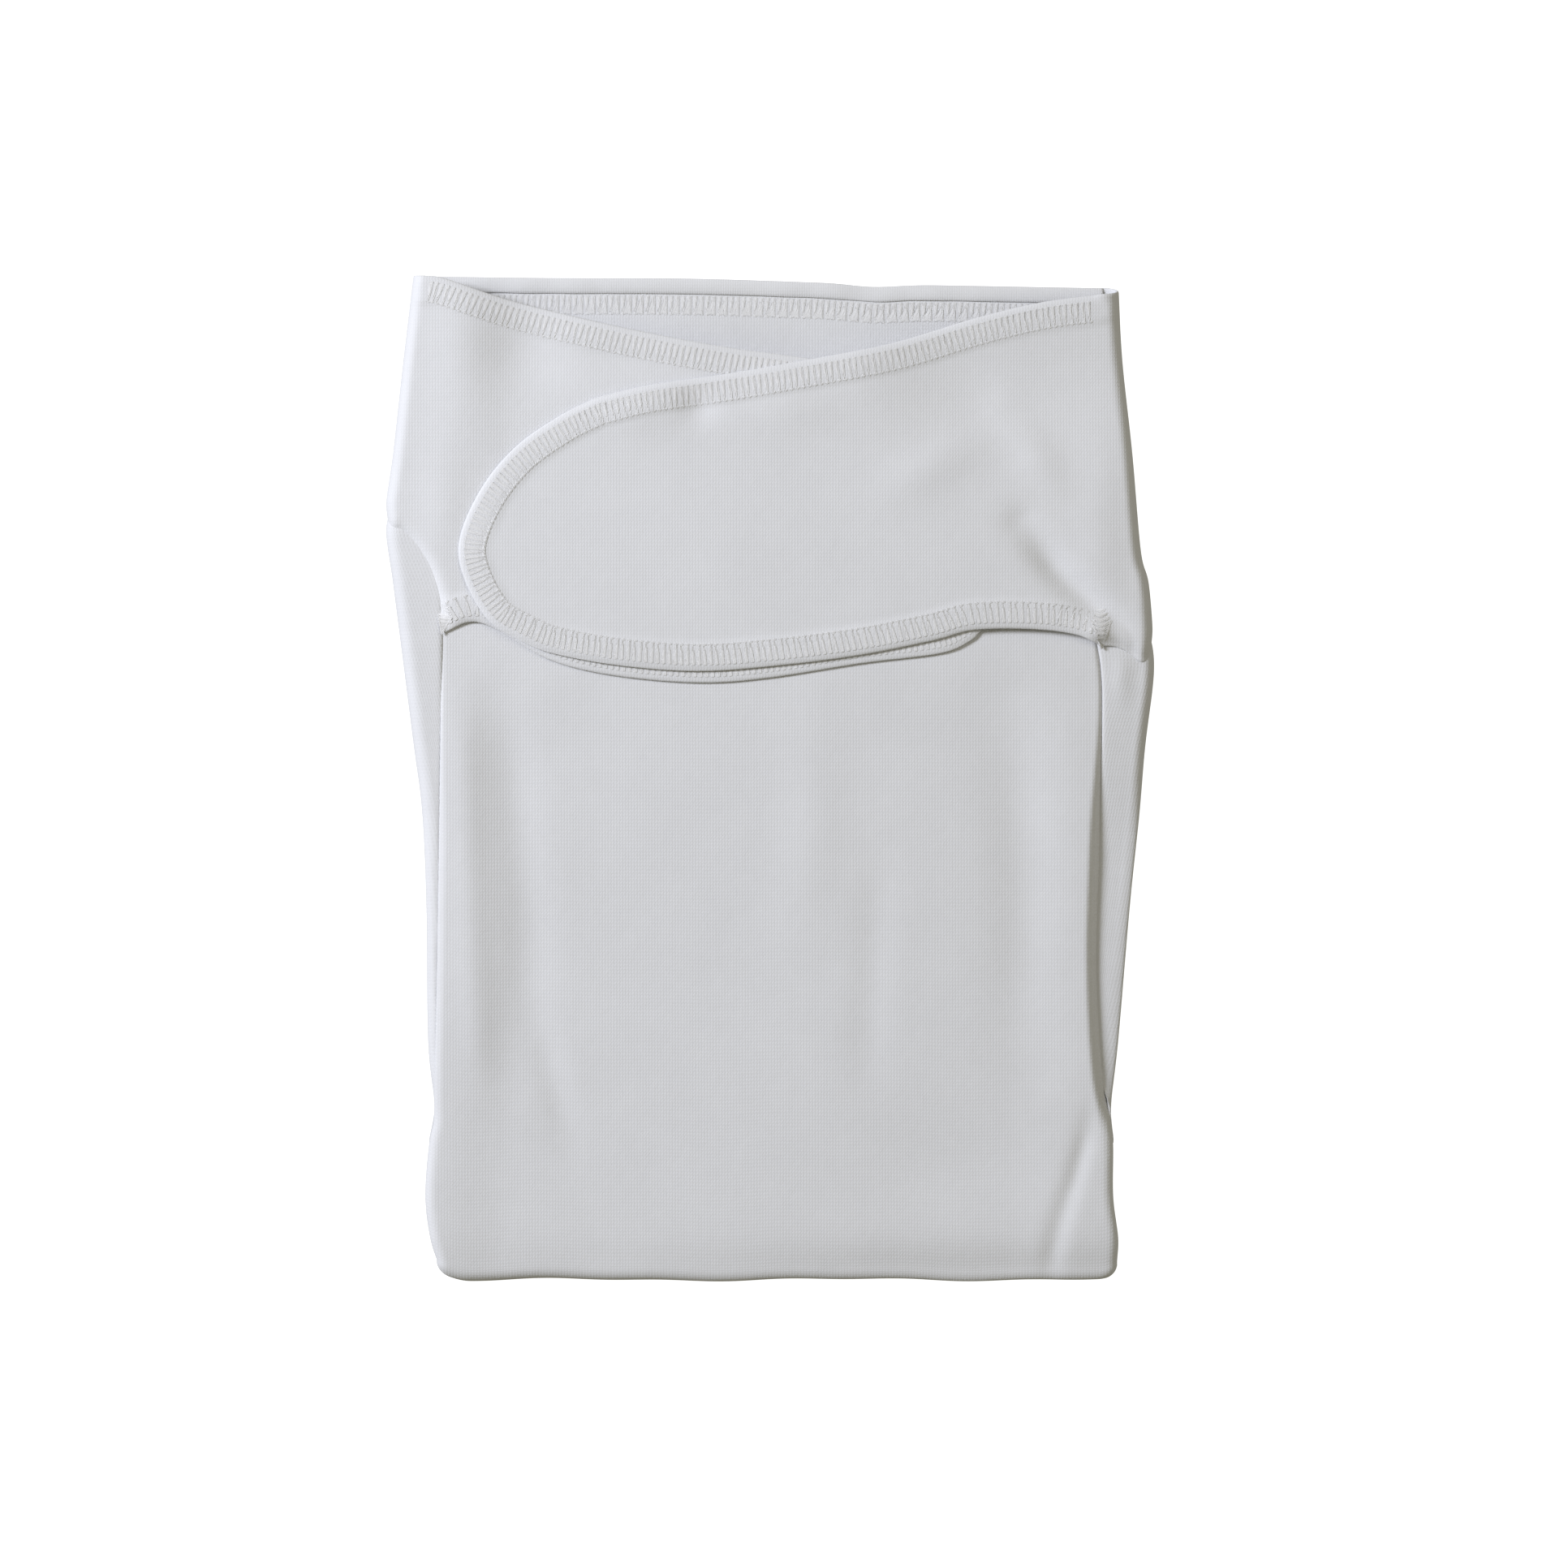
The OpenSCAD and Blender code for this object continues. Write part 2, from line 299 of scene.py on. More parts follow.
def inner_height(x, y):
    z = INNER_Z + swell(x, y, -116, 158, 13, 34, 1.5)
    z = z + swell(x, y, -93, 165, 17, 20, -2.2)
    z = z + swell(x, y, -60, 160, 22, 10, -0.8)
    z = z + swell(x, y, -124, 100, 9, 26, 0.8)
    z = z + hem_relief(inner_free, x, y)
    z = z - rise(distance_to(inner_crease, x, y), 0, CREASE_WIDTH, 2.6)
    z = np.maximum(z, front_height(x, y) + 1.1 - 30 * step(60, 80, y))
    return soft_min(z, outer_body(x, y) - 1.4 + 6 * (1 - step(-132, -98, x)), 1.0)


def outer_height(x, y):
    z = outer_body(x, y) + hem_relief(outer_free, x, y)
    return z - rise(distance_to(outer_crease, x, y), 0, CREASE_WIDTH, 2.8)


print("plies rest from", BACK_Z, "to", OUTER_Z, "mm above the surface")

# %% [markdown]
# ## From a grid to a ply of cloth
# A ply starts as a flat grid. Each point is given its place on the wrap, and its place on the uncut cloth,
# which the knit follows as UV coordinates. Solidify then gives the cloth its thickness and one level of
# subdivision rounds the cut edge. A simulation would drape the plies by chance; placing them keeps every
# fold where it belongs.

# %% Making a ply
CLOTH_T = 1.0
pieces = {}


def finish_mesh(bm, name, material):
    mesh = bpy.data.meshes.new(name)
    bm.to_mesh(mesh)
    bm.free()
    mesh.shade_smooth()
    obj = bpy.data.objects.new(name, mesh)
    bpy.context.collection.objects.link(obj)
    mesh.materials.append(material)
    pieces[name] = obj
    return obj


def ply(name, columns, rows, place, material, thickness=CLOTH_T, face_down=False, rounded=1):
    """A sheet of cloth: place(u, v) gives its points in millimetres and their places on the uncut cloth."""
    bm = bmesh.new()
    bmesh.ops.create_grid(bm, x_segments=columns, y_segments=rows, size=0.5)
    bm.verts.index_update()
    flat = np.array([v.co[:2] for v in bm.verts]) + 0.5
    points, weave = place(flat[:, 0], flat[:, 1])
    uv = bm.loops.layers.uv.new("weave")
    for vert, point in zip(bm.verts, points):
        vert.co = Vector(point) * MM
    for face in bm.faces:
        for loop in face.loops:
            loop[uv].uv = Vector(weave[loop.vert.index]) * MM
    if face_down:
        bmesh.ops.reverse_faces(bm, faces=bm.faces)
    obj = finish_mesh(bm, name, material)
    solid = obj.modifiers.new("thickness", "SOLIDIFY")
    solid.thickness = thickness * MM
    solid.offset = 0
    if rounded:
        soften = obj.modifiers.new("soften", "SUBSURF")
        soften.levels = soften.render_levels = rounded
    print(name, "has", len(obj.data.polygons), "faces before its thickness")
    return obj


def columns_to(*parts):
    return np.stack(parts, axis=-1)


print("cloth is", CLOTH_T, "mm thick")

# %% [markdown]
# ## The knit
# Interlock is a fine double knit: close upright ribs of loops, called wales, with a soft fuzz over them.
# One node group makes the wales, the courses across them and the fuzz from the cloth's own coordinates, and
# every knit material uses it with its own values. Its Shade output mixes random tone, from slubs and broad
# patches, with painted shade: the grooves between wales are coloured a little darker. The loops are about a
# millimetre apart, so as faces they would cost millions; as bump and shade they cost nothing and still turn
# with the cloth.

# %% Knit node group
def math_node(tree, operation, a, b=None):
    node = tree.nodes.new("ShaderNodeMath")
    node.operation = operation
    for socket, value in zip(node.inputs, (a, b)):
        if value is None:
            continue
        if isinstance(value, (int, float)):
            socket.default_value = value
        else:
            tree.links.new(value, socket)
    return node.outputs[0]


def noise_node(tree, vector, scale, detail=2.0):
    node = tree.nodes.new("ShaderNodeTexNoise")
    node.inputs["Scale"].default_value = scale
    node.inputs["Detail"].default_value = detail
    tree.links.new(vector, node.inputs["Vector"])
    return node.outputs["Fac"]


def build_knit_group():
    tree = bpy.data.node_groups.new("interlock_knit", "ShaderNodeTree")
    face = tree.interface
    face.new_socket(name="Weave", in_out="INPUT", socket_type="NodeSocketVector")
    face.new_socket(name="Place", in_out="INPUT", socket_type="NodeSocketVector")
    face.new_socket(name="Wales per metre", in_out="INPUT", socket_type="NodeSocketFloat")
    face.new_socket(name="Fuzz", in_out="INPUT", socket_type="NodeSocketFloat")
    face.new_socket(name="Height", in_out="OUTPUT", socket_type="NodeSocketFloat")
    face.new_socket(name="Shade", in_out="OUTPUT", socket_type="NodeSocketFloat")
    inside = tree.nodes.new("NodeGroupInput").outputs
    split = tree.nodes.new("ShaderNodeSeparateXYZ")
    tree.links.new(inside["Weave"], split.inputs[0])
    turns = math_node(tree, "MULTIPLY", inside["Wales per metre"], math.pi)
    upward = math_node(tree, "MULTIPLY", split.outputs["Y"], turns)
    course = math_node(tree, "SINE", math_node(tree, "MULTIPLY", upward, 1.6))
    across = math_node(tree, "MULTIPLY", split.outputs["X"], turns)
    leaning = math_node(tree, "ADD", across, math_node(tree, "MULTIPLY", course, 0.35))
    wale = math_node(tree, "ABSOLUTE", math_node(tree, "SINE", leaning))
    loops = math_node(tree, "ADD", math_node(tree, "MULTIPLY", wale, 0.42),
                      math_node(tree, "MULTIPLY", course, 0.12))
    fibres = noise_node(tree, inside["Place"], 1500.0, 3.0)
    fuzz = math_node(tree, "MULTIPLY", fibres, inside["Fuzz"])
    slub = noise_node(tree, inside["Place"], 260.0, 3.0)
    height = math_node(tree, "ADD", math_node(tree, "ADD", loops, fuzz),
                       math_node(tree, "MULTIPLY", slub, 0.6))
    broad = noise_node(tree, inside["Place"], 34.0, 2.0)
    # Shade is random tone from slubs and broad patches, plus painted shade that darkens the grooves between
    # wales
    shade = math_node(tree, "ADD", math_node(tree, "MULTIPLY", wale, 0.10),
                      math_node(tree, "ADD", math_node(tree, "MULTIPLY", slub, 0.34),
                                math_node(tree, "MULTIPLY", broad, 0.56)))
    outside = tree.nodes.new("NodeGroupOutput").inputs
    tree.links.new(height, outside["Height"])
    tree.links.new(shade, outside["Shade"])
    return tree


knit_group = build_knit_group()
print("the knit group has", len(knit_group.nodes), "nodes")

# %% [markdown]
# ## Finishes
# White cotton is not pure white: it is a cool pale grey, a little darker and warmer where the knit is dense
# and, as painted shade, in the grooves between wales. Sheen stands for the fuzz that catches grazing light.
# Thread is smoother and a touch creamier than the cloth it is sewn on.

# %% Cotton, thread and tape
def cotton(name, pale, deep, wales=900.0, relief=0.00015, fuzz=0.5, roughness=0.9, sheen=0.25):
    material = bpy.data.materials.new(name)
    material.use_nodes = True
    tree = material.node_tree
    surface = tree.nodes["Principled BSDF"]
    surface.inputs["Roughness"].default_value = roughness
    surface.inputs["Specular IOR Level"].default_value = 0.25
    surface.inputs["Sheen Weight"].default_value = sheen
    surface.inputs["Sheen Roughness"].default_value = 0.55
    where = tree.nodes.new("ShaderNodeTexCoord")
    weave = tree.nodes.new("ShaderNodeUVMap")
    weave.uv_map = "weave"
    knit = tree.nodes.new("ShaderNodeGroup")
    knit.node_tree = knit_group
    knit.inputs["Wales per metre"].default_value = wales
    knit.inputs["Fuzz"].default_value = fuzz
    tree.links.new(weave.outputs["UV"], knit.inputs["Weave"])
    tree.links.new(where.outputs["Object"], knit.inputs["Place"])
    tint = tree.nodes.new("ShaderNodeMix")
    tint.data_type = "RGBA"
    tint.inputs[6].default_value = (*deep, 1)
    tint.inputs[7].default_value = (*pale, 1)
    # The deep tint goes where Shade is low, so the grooves between wales get painted shade
    tree.links.new(knit.outputs["Shade"], tint.inputs["Factor"])
    tree.links.new(tint.outputs[2], surface.inputs["Base Color"])
    bump = tree.nodes.new("ShaderNodeBump")
    bump.inputs["Strength"].default_value = 0.6
    bump.inputs["Distance"].default_value = relief
    tree.links.new(knit.outputs["Height"], bump.inputs["Height"])
    tree.links.new(bump.outputs["Normal"], surface.inputs["Normal"])
    return material


PALE = (0.73, 0.732, 0.74)
DEEP = (0.635, 0.635, 0.64)
body_knit = cotton("body_knit", PALE, DEEP)
wing_knit = cotton("wing_knit", (0.735, 0.737, 0.745), (0.64, 0.64, 0.645))
hem_knit = cotton("hem_knit", (0.74, 0.74, 0.745), (0.645, 0.645, 0.645), wales=1100.0)
thread = cotton("overlock_thread", (0.77, 0.768, 0.765), (0.68, 0.675, 0.67), wales=2600.0, relief=0.0001,
                fuzz=0.2, roughness=0.62, sheen=0.1)
hook_nylon = cotton("hook_nylon", (0.78, 0.78, 0.77), (0.68, 0.68, 0.67), wales=1600.0, fuzz=0.1,
                    roughness=0.45, sheen=0.0)
loop_pile = cotton("loop_pile", (0.76, 0.76, 0.76), (0.62, 0.62, 0.62), wales=700.0, relief=0.0005, fuzz=1.0,
                   sheen=0.5)
satin = cotton("label_satin", (0.82, 0.82, 0.81), (0.74, 0.74, 0.73), wales=2400.0, relief=0.00005,
               fuzz=0.05, roughness=0.35, sheen=0.0)
print("finishes:", ", ".join(material.name for material in bpy.data.materials if material.use_nodes))

# %% [markdown]
# ## The back panel
# The back panel is one ply. It lies on the surface, steps up over the turned foot end, and its sides roll
# up and over to the two seams on the front. Each row of the grid walks the same path: out from the middle,
# round the roll, and in again to the seam. Above the wings' corners the roll dies away, because there the
# wings carry on.

# %% Back panel
ROLL = 4.6
BACK_END_Y = -140
# The rolled strips, with -1 for the left side and 1 for the right
STRIP_Z = {-1: 9.9, 1: 9.2}
STRIP_DROP = {-1: 0.3, 1: 4.4}
STRIP_SLOPE = {-1: 0.0, 1: 0.03}
ROLL_ENDS = {-1: (98, 114), 1: (52, 70)}
TUCKED = 1.3
GROOVE = {-1: 0.5, 1: 0.2}
GROOVE_WIDTH = {-1: 1.4, 1: 1.6}


def neck_y(x):
    across = (x - NECK_LEFT[0]) / (NECK_RIGHT[0] - NECK_LEFT[0])
    droop = rise(x, -30, 45, 0.9) + rise(x, 40, 12, -1.1)
    return NECK_LEFT[1] - 0.6 + (NECK_RIGHT[1] - NECK_LEFT[1]) * across + droop


def half_row(side, t, y):
    """One half of a back panel row: t runs from 0 in the middle to 1 at the seam."""
    outline, seam = (side_left, seam_left) if side < 0 else (side_right, seam_right)
    outer = np.abs(x_at(outline, y)) - CLOTH_T / 2
    inner = np.abs(x_at(seam, y)) - 0.6
    rolled = 1 - step(*ROLL_ENDS[side], y)
    below_notch = step(NOTCH_Y + 16, NOTCH_Y - 4, y)
    top_z = STRIP_Z[side] - STRIP_DROP[side] * step(34, -36, y)
    top_z = top_z + below_notch * (FRONT_Z - top_z)
    low_z = back_height(side * 100, y)
    roll = np.minimum(ROLL, np.maximum(outer - inner, 0.0) * 0.45 + 2.6)
    flat_share = 0.66 + 0.34 * (1 - rolled)
    along = np.clip((t - flat_share) / np.maximum(1 - flat_share, 1e-4), 0, 1) * rolled
    share_arc = 0.55 + 0.45 * below_notch
    turn = np.clip(along / share_arc, 0, 1) * (180 - 90 * below_notch)
    angle = np.radians(turn - 90)
    shrink = TUCKED * step(ROLL_ENDS[side][0] - 6, ROLL_ENDS[side][0] + 6, y)
    x = outer - shrink - roll + roll * np.cos(angle)
    z = (top_z + low_z) / 2 + (top_z - low_z) / 2 * np.sin(angle)
    inward = np.clip((along - share_arc) / np.maximum(1 - share_arc, 1e-4), 0, 1)
    x = x - inward * np.maximum(outer - roll - inner, 0)
    to_seam = np.maximum(x - inner, 0)
    on_top = turn > 179
    z = z - on_top * STRIP_SLOPE[side] * (to_seam - 6) * (1 - below_notch)
    groove = GROOVE_WIDTH[side] * (0.45 + 0.55 * step(34, -80, y))
    z = z - on_top * (1 - below_notch) * rise(to_seam, 0, groove, GROOVE[side])
    z = z + on_top * swell(side * x, y, 134, 38, 3.5, 9, 0.7) * (side > 0)
    flat = np.clip(t / flat_share, 0, 1)
    on_flat = t < flat_share
    x = np.where(on_flat, (outer - shrink - roll) * flat, x)
    z = np.where(on_flat, back_height(side * x, y), z)
    cloth_x = np.where(on_flat, x, outer - roll + along * (roll * 3 + np.maximum(outer - roll - inner, 0)))
    return side * x, z, side * cloth_x


def place_back(u, v):
    middle = (u - 0.5) * 2
    x_guess = middle * 130
    y = BACK_END_Y + v * (neck_y(x_guess) - BACK_END_Y)
    left = half_row(-1, np.abs(middle), y)
    right = half_row(1, np.abs(middle), y)
    x, z, cloth_x = (np.where(middle < 0, a, b) for a, b in zip(left, right))
    return columns_to(x, y, z), columns_to(cloth_x, y)


back_cloth = ply("back_panel_cloth", 118, 100, place_back, body_knit)

# %% [markdown]
# ## The pouch front and its foot end
# The pouch front is a second ply, sewn to the rolled sides along two seams. It runs down over the foot fold
# and carries on underneath as the outer ply of the turned foot end, so it is made as one strip that goes
# over, round and back. Its side edges dip into the seams.

# %% Pouch front
MOUTH_Y = 72
TAIL_LENGTH = 176
TAIL_END_Y = FOOT_Y + TAIL_LENGTH + 5
TAIL_HALF = 121
TAIL_ROUND = 24
FOOT_R = 4.4
FRONT_SHARE, BEND_SHARE = 0.60, 0.07
# Width and depth of the dip into each side seam, and of the dips at the plain and the turned edges
EDGE_DIP = {-1: (2.6, 1.0), 1: (4.6, 5.2)}
SIDE_DIP = (4.0, 3.0)
TAIL_DIP = (3, 0.55)
# The pouch front is kept at least this high, except near the foot fold and along the turned foot end
CLEAR_OF_FOOT_Z = 4.1
FOOT_SPAN = (-128, 131)


def crowd_edges(u, pull=0.72):
    """Moves columns towards both edges, where the cloth bends most."""
    return u - pull / (2 * math.pi) * np.sin(2 * math.pi * u)


def front_side(side, y):
    outline, seam = (side_left, seam_left) if side < 0 else (side_right, seam_right)
    below = step(NOTCH_Y + 6, NOTCH_Y - 6, y)
    sewn = x_at(seam, np.maximum(y, NOTCH_Y))
    edge = x_at(outline, y) - side * CLOTH_T / 2
    return sewn + (edge - sewn) * below, below


def tail_half_width(to_end):
    r = TAIL_ROUND
    cut = np.clip(r - to_end, 0, r)
    return TAIL_HALF - r + np.sqrt(np.maximum(r * r - cut * cut, 0))


def foot_line(x):
    """The foot fold's own y, a little wavy, drawn in at both corners."""
    left, right = side_left[-1, 0], side_right[-1, 0]
    corner = np.maximum(1 - (x - left) / 12, 0) ** 2 * 3.2 + np.maximum(1 - (right - x) / 9, 0) ** 2 * 3.4
    return FOOT_Y + 0.5 + corner + 0.45 * np.sin(x / 17.0) + 0.3 * np.sin(x / 7.3 + 1)


def wrap_round_foot(u, v, top_z, tail_z, radius, front_from, inside):
    """Walks a ply down the front, round the foot fold and back along the turned foot end."""
    share = crowd_edges(u)
    lane = np.clip(v / FRONT_SHARE, 0, 1)
    bend = np.clip((v - FRONT_SHARE) / BEND_SHARE, 0, 1)
    tail = np.clip((v - FRONT_SHARE - BEND_SHARE) / (1 - FRONT_SHARE - BEND_SHARE), 0, 1)
    x_guess = FOOT_SPAN[0] + (FOOT_SPAN[1] - FOOT_SPAN[0]) * share
    fold_y = foot_line(x_guess) + radius + inside
    y = front_from + lane * (fold_y - front_from)
    left, below = front_side(-1, y)
    right, _ = front_side(1, y)
    tail_y = fold_y + tail * (TAIL_END_Y - fold_y)
    half = tail_half_width((1 - tail) * TAIL_LENGTH)
    into_tail = step(0.0, 0.12, tail)
    left = left + into_tail * (-half - left) + inside
    right = right + into_tail * (half - right) - inside
    x = left + (right - left) * share
    z_front = top_z(x, y)
    angle = bend * math.pi
    turned = v > FRONT_SHARE
    centre = (z_front + tail_z) / 2
    z = np.where(turned, centre + (z_front - tail_z) / 2 * np.cos(angle), z_front)
    y_out = np.where(tail > 0, tail_y, y - radius * np.sin(angle))
    inward = columns_to(turned * np.sin(angle), -np.cos(angle))
    return x, y_out, z, left, right, inward, below, tail


def dip(edge_distance, width, depth):
    """A rounded edge."""
    near = np.clip(1 - edge_distance / width, 0, 1)
    return depth * (1 - np.sqrt(np.maximum(1 - near * near, 0)))


def bank(edge_distance, width, depth):
    """A slope down to a sewn edge, which the seam pulls down."""
    return depth * np.clip(1 - edge_distance / width, 0, 1) ** 1.4


def hem_shoulder(distance, lift=0.35, width=8.0):
    return lift * (1 - step(width - 1, width + 1, distance))


def place_front(u, v):
    x, y, z, left, right, inward, below, tail = wrap_round_foot(
        u, v, front_height, BACK_Z, FOOT_R, MOUTH_Y, 0.0)
    flat = tail > 0
    deep = []
    for side, distance in ((-1, x - left), (1, right - x)):
        width, depth = EDGE_DIP[side]
        lower = step(34, -30, y)
        grown = 0.4 + 0.6 * lower
        seam_dip = bank(distance, width * grown, depth * grown)
        edge_dip = dip(distance, SIDE_DIP[0], np.where(flat, TAIL_DIP[1], SIDE_DIP[1]))
        share = np.where(flat, 1.0, below)
        deep.append(seam_dip + (edge_dip - seam_dip) * share)
    depth = np.maximum(np.maximum(*deep), dip((1 - tail) * TAIL_LENGTH, *TAIL_DIP) * flat)
    y = y + inward[:, 0] * depth
    z = z + inward[:, 1] * depth
    z = np.where(flat | (y < FOOT_Y + 9), z, np.maximum(z, CLEAR_OF_FOOT_Z))
    mouth = hem_shoulder(MOUTH_Y - y) * (v < FRONT_SHARE)
    cloth_y = MOUTH_Y - v * (MOUTH_Y - FOOT_Y + TAIL_LENGTH)
    return columns_to(x, y, z + mouth), columns_to(x, cloth_y)


front_cloth = ply("pouch_front_cloth", 84, 140, place_front, body_knit, face_down=True)

# %% [markdown]
# ## The inner ply of the foot end
# The back panel's last stretch follows the same road inside the front ply: down to the foot fold, round a
# much tighter bend and back between the front ply and the back panel. It is made as a piece of its own.

# %% Foot end, inner ply
TAIL_BACK_Z = 1.85
INNER_BEND = 0.7
INNER_START = 0.40
INSIDE = 0.9


def place_foot_back(u, v):
    x, y, z, left, right, inward, below, tail = wrap_round_foot(
        u, INNER_START + (1 - INNER_START) * v, back_height, TAIL_BACK_Z, INNER_BEND, 300.0, INSIDE)
    start = v * (1 - INNER_START) + INNER_START
    on_back = start < FRONT_SHARE
    share = np.clip((start - INNER_START) / (FRONT_SHARE - INNER_START), 0, 1)
    fold_y = foot_line(x) + INNER_BEND + 3.6
    y = np.where(on_back, BACK_END_Y + share * (fold_y - BACK_END_Y), y)
    sides = [front_side(side, y)[0] for side in (-1, 1)]
    spread = crowd_edges(u)
    x = np.where(on_back, sides[0] + INSIDE + (sides[1] - sides[0] - 2 * INSIDE) * spread, x)
    left = np.where(on_back, sides[0], left)
    right = np.where(on_back, sides[1], right)
    z = np.where(on_back, BACK_RAISED_Z, z)
    edge = np.minimum(x - left, right - x)
    z = z + np.where(tail > 0, -dip(edge, *TAIL_DIP), dip(edge, 5.4, 3.0) * on_back)
    return columns_to(x, y, z), columns_to(x, y)


foot_cloth = ply("foot_end_inner_cloth", 90, 110, place_foot_back, body_knit)

# %% [markdown]
# ## The wings
# Each wing is cut in one with the back panel. It comes round the side fold from underneath and lies across
# the chest as a tongue with a round end. The grid is stretched between four boundary lines (a Coons patch):
# the fold, the upper edge, the lower edge and the tip. Its first columns go round the fold.

# %% A patch between four lines
def patch(fold, low, up, tip, s, b):
    """A point of the patch: s runs from the fold to the tip, b from the lower to the upper edge."""
    s, b = s[:, None], b[:, None]
    across = (1 - s) * at(fold, b[:, 0]) + s * at(tip, b[:, 0])
    along = (1 - b) * at(low, s[:, 0]) + b * at(up, s[:, 0])
    low_corners = (1 - b) * ((1 - s) * fold[0] + s * tip[0])
    up_corners = b * ((1 - s) * fold[-1] + s * tip[-1])
    return across + along - low_corners - up_corners


LOW_EASE = 14
UP_EASE = 10


def wing_place(side, outline, fold_ends, low, up, tip, height, neck_corner, fold_share=0.14):
    """Makes the place function of one wing: round the side fold first, then across the chest."""
    y0, y1 = fold_ends[0][1], fold_ends[1][1]
    ys = np.linspace(y0, y1, 60)
    fold_x = x_at(outline, ys) - side * (ROLL + CLOTH_T / 2)
    straight = np.interp(ys, [y0, y1], [fold_ends[0][0], fold_ends[1][0]])
    from_low = np.maximum(1 - (ys - y0) / LOW_EASE, 0)
    from_up = np.maximum(1 - (y1 - ys) / UP_EASE, 0)
    free = step(y0, y0 + LOW_EASE, ys) * (1 - step(y1 - UP_EASE, y1, ys))
    fold_x = fold_x + (straight - fold_x) * np.minimum(1, from_low + from_up) * 0.9 * (1 - free)
    fold = np.stack([fold_x, ys], axis=-1)
    fold[0], fold[-1] = fold_ends
    print("side fold", round(line_length(fold)), "mm long")

    def place(u, v):
        s = np.clip((u - fold_share) / (1 - fold_share), 0, 1)
        xy = patch(fold, low, up, tip, s, v)
        z = height(xy[:, 0], xy[:, 1])
        round_fold = np.clip(1 - u / fold_share, 0, 1)
        angle = np.radians(90 - 180 * round_fold)
        reach = np.abs(x_at(outline, xy[:, 1]) - side * CLOTH_T / 2 - xy[:, 0])
        reach = reach - TUCKED * (1 - step(y0 + 2, y0 + 14, xy[:, 1]))
        lying = back_height(side * 120, xy[:, 1])
        x_fold = xy[:, 0] + side * reach * np.cos(angle)
        z_fold = (z + lying) / 2 + (z - lying) / 2 * np.sin(angle)
        y_shift = (neck_corner[1] - y1) * step(0.75, 1.0, v) * np.sin(round_fold * math.pi / 2) ** 2
        rolled = u < fold_share
        x = np.where(rolled, x_fold, xy[:, 0])
        y = xy[:, 1] + np.where(rolled, y_shift, 0)
        cloth_x = xy[:, 0] + side * round_fold * rolled * (2 * reach + 8)
        return columns_to(x, y, np.where(rolled, z_fold, z)), columns_to(cloth_x, xy[:, 1])

    return place


# %% [markdown]
# ## The under wing
# The left wing lies under the right one. Its lower edge runs to the corner tack, and from there a crease
# goes up to the side fold, where the cloth is still joined to the back panel.

# %% Left wing, the inner one
INNER_FOLD_ENDS = ((-141, 92), (-131, 190.6))
inner_low = np.vstack([inner_lower, inner_crease[1:]])[::-1]
place_left = wing_place(-1, side_left, INNER_FOLD_ENDS, inner_low, inner_upper, inner_tip[::-1],
                        inner_height, NECK_LEFT)
left_wing = ply("left_wing_cloth", 120, 84, place_left, wing_knit)

# %% [markdown]
# ## The over wing
# The right wing is longer and lies on top. It is made the same way from the other side, so its faces are
# turned over to keep their outside outward.

# %% Right wing, the outer one
OUTER_FOLD_ENDS = ((141, 43.5), (126.5, 183.6))
outer_low = np.vstack([outer_lower, outer_crease[1:]])[::-1]
place_right = wing_place(1, side_right, OUTER_FOLD_ENDS, outer_low, outer_upper, outer_tip[::-1],
                         outer_height, NECK_RIGHT)
right_wing = ply("right_wing_cloth", 130, 88, place_right, wing_knit, face_down=True)

# %% [markdown]
# ## Hems, tacks and tapes
# An overlock throws a thread across the folded edge again and again. Each throw is one small bar of thread
# with a few dozen faces, laid square to the edge and lifted on to the cloth. One ball is doubled until
# there are enough of them, which is far quicker than making each one by itself. Both faces of a wing carry
# the row, because the wings open. A run of short stitches holds each side of the row.

# %% Rows of stitches
THREAD = 0.60
THREAD_FLAT = 0.20
PITCH = 2.3


def sew(name, bars, surface, material, proud=0.06):
    """Bars of thread lying on a surface. Each bar is x, y, turn, length, width and side of the cloth."""
    bm = bmesh.new()
    bmesh.ops.create_uvsphere(bm, u_segments=6, v_segments=6, radius=1.0)
    ball = np.array([v.co for v in bm.verts])
    while len(bm.verts) < len(ball) * len(bars):
        bmesh.ops.duplicate(bm, geom=bm.verts[:] + bm.edges[:] + bm.faces[:])
    bmesh.ops.delete(bm, geom=bm.verts[len(ball) * len(bars):], context="VERTS")
    x0, y0, turn, length, width, face = (column[:, None] for column in np.array(bars).T)
    along, across = ball[:, 2] * length / 2, ball[:, 0] * width
    x = x0 + np.cos(turn) * along - np.sin(turn) * across
    y = y0 + np.sin(turn) * along + np.cos(turn) * across
    z = surface(x, y) + face * (CLOTH_T / 2 + proud) + ball[:, 1] * width * THREAD_FLAT
    for vert, point in zip(bm.verts, columns_to(x, y, z).reshape(-1, 3)):
        vert.co = Vector(point) * MM
    bmesh.ops.recalc_face_normals(bm, faces=bm.faces)
    obj = finish_mesh(bm, name, material)
    obj.data.shade_flat()
    weave_by_place(obj)
    print(name, "has", len(bars), "bars of thread")
    return obj


def bar(centre, direction, length, width=1.0, face=1):
    return (centre[0], centre[1], math.atan2(direction[1], direction[0]), length, THREAD * width, face)


